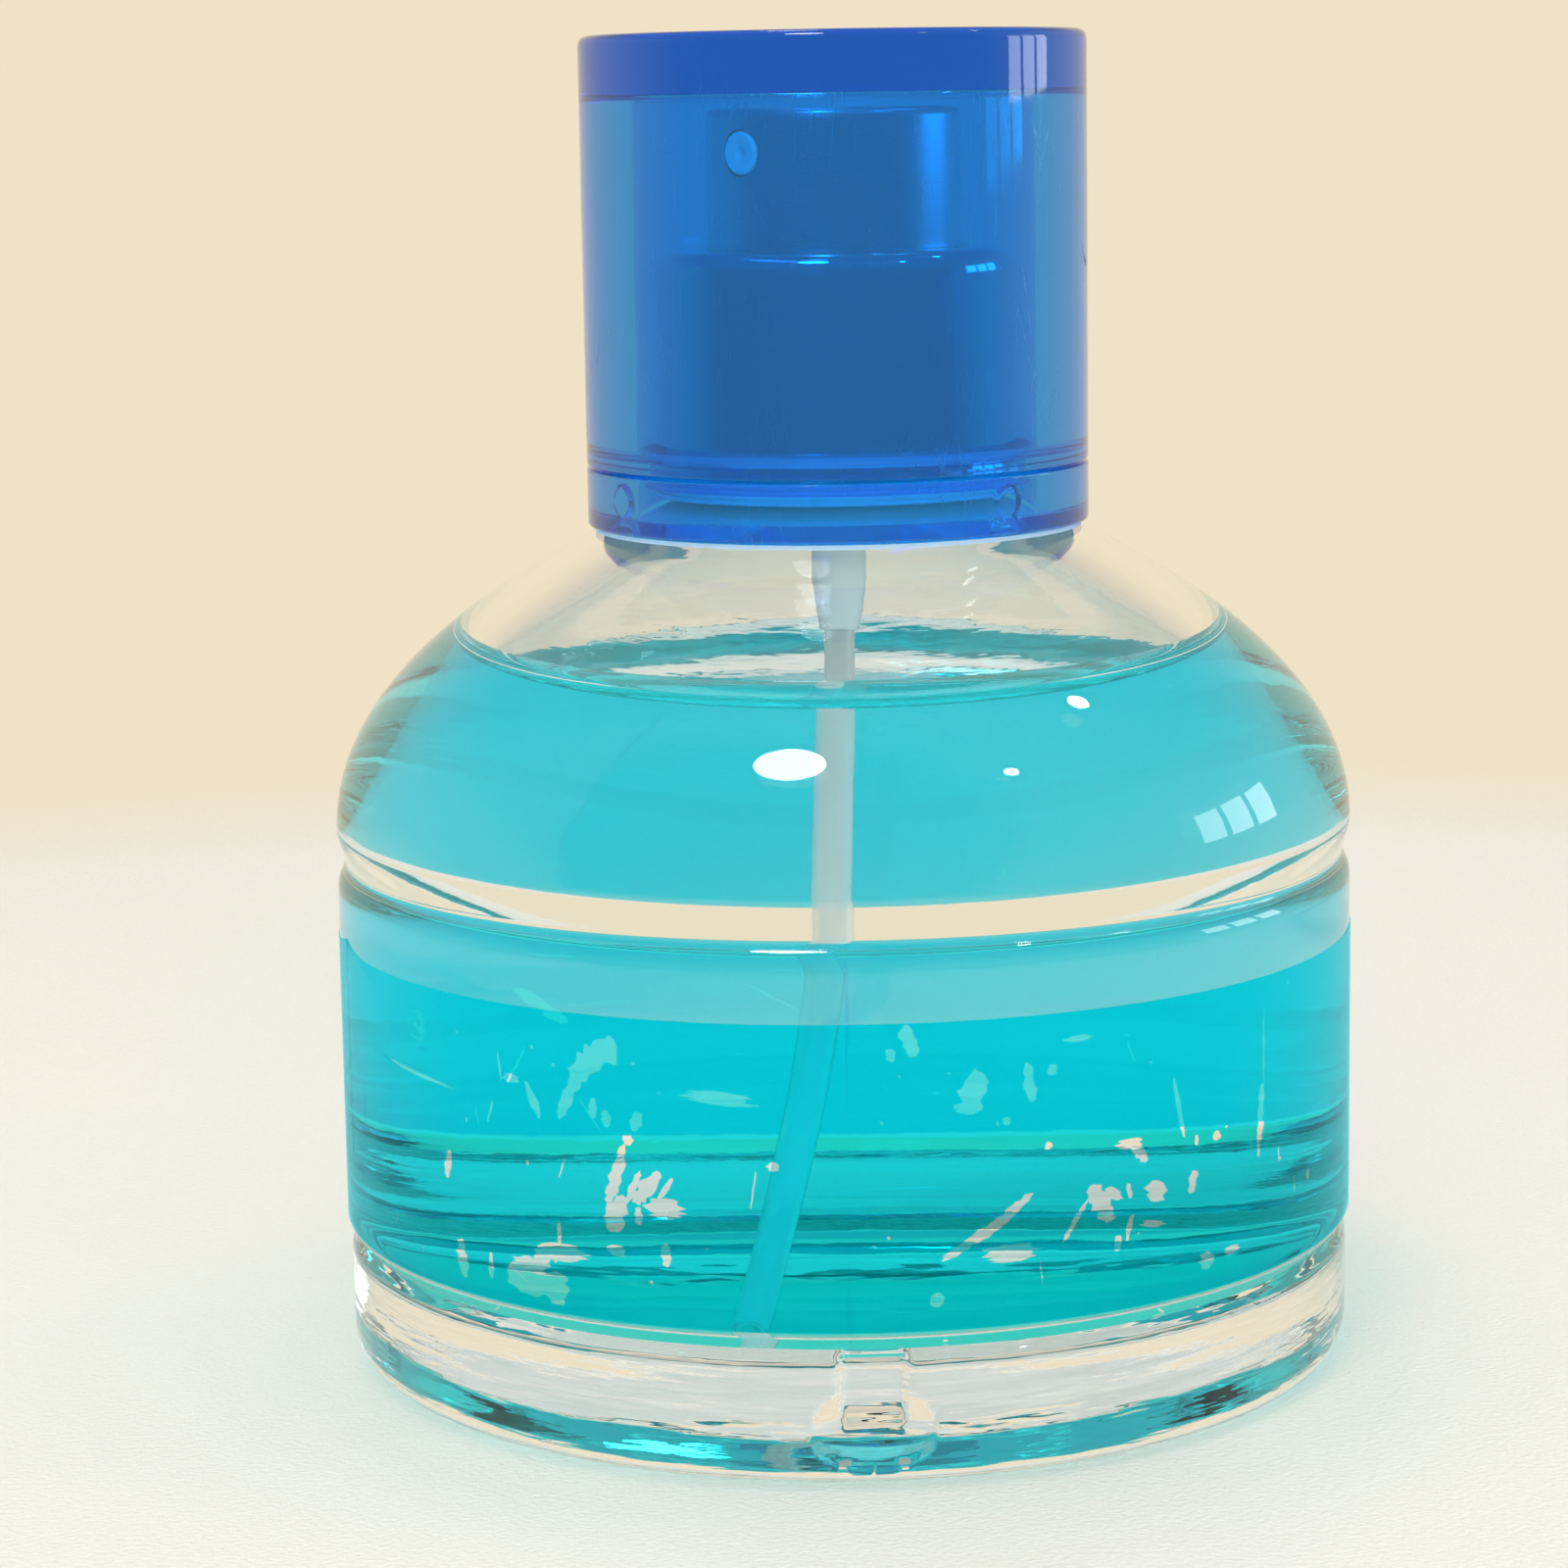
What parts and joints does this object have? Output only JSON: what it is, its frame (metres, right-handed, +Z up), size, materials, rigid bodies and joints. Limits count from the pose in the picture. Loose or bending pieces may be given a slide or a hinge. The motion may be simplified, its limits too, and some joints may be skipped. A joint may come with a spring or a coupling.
{
  "type": "perfume spray bottle",
  "caption": "Round glass perfume bottle with a domed shoulder, blue lacquered band, crimped spray pump with a dip tube, metal collar, base ring and thick translucent overcap.",
  "frame": {"origin": "centre of the foot's bearing plane, on the bottle's axis", "axes": "+Z up along the bottle's axis; -Y is the front"},
  "size_m": [0.058, 0.058, 0.0751],
  "materials": {
    "clear_glass": "clear, polished",
    "blue_lacquer": "translucent gloss lacquer, chipped",
    "perfume": "clear pale liquid",
    "blue_plastic": "translucent, polished",
    "collar_chrome": "bright polished",
    "satin_aluminium": "satin",
    "ferrule_aluminium": "mill finish",
    "spring_steel": "bright drawn wire",
    "white_plastic": "moulded, semi-gloss",
    "natural_plastic": "translucent, uncoloured",
    "seal_rubber": "matt"
  },
  "bodies": {
    "root": {"glass_bottle": "clear_glass", "tint_band": "blue_lacquer", "perfume_fill": "perfume", "dip_tube": "natural_plastic", "neck_gasket": "seal_rubber", "crimp_ferrule": "ferrule_aluminium", "pump_housing": "natural_plastic", "housing_lid": "white_plastic", "stem_seal": "seal_rubber", "return_spring": "spring_steel", "collar_insert": "white_plastic", "metal_collar": "collar_chrome", "base_ring": "blue_plastic"},
    "cap": {"overcap": "blue_plastic"},
    "stem": {"pump_stem": "white_plastic"},
    "piston": {"pump_piston": "white_plastic"},
    "ball": {"check_ball": "spring_steel"},
    "actuator": {"actuator_shell": "satin_aluminium", "actuator_core": "white_plastic", "nozzle_insert": "white_plastic"}
  },
  "joints": [
    {"name": "cap_lift", "type": "slide", "parent": "root", "child": "cap", "axis": [0, 0, 1], "range_m": [0, 0.035]},
    {"name": "actuator_press", "type": "slide", "parent": "root", "child": "stem", "axis": [0, 0, -1], "range_m": [0, 0.0032], "stiffness_N_per_m": 700, "springref_m": -0.003, "deforming": ["return_spring"]},
    {"name": "piston_lag", "type": "slide", "parent": "stem", "child": "piston", "axis": [0, 0, 1], "range_m": [0, 0.0005]},
    {"name": "ball_lift", "type": "slide", "parent": "root", "child": "ball", "axis": [0, 0, 1], "range_m": [0, 0.0005]},
    {"name": "actuator_turn", "type": "hinge", "parent": "stem", "child": "actuator", "pos_m": [0, 0, 0.067], "axis": [0, 0, 1], "continuous": true}
  ]
}
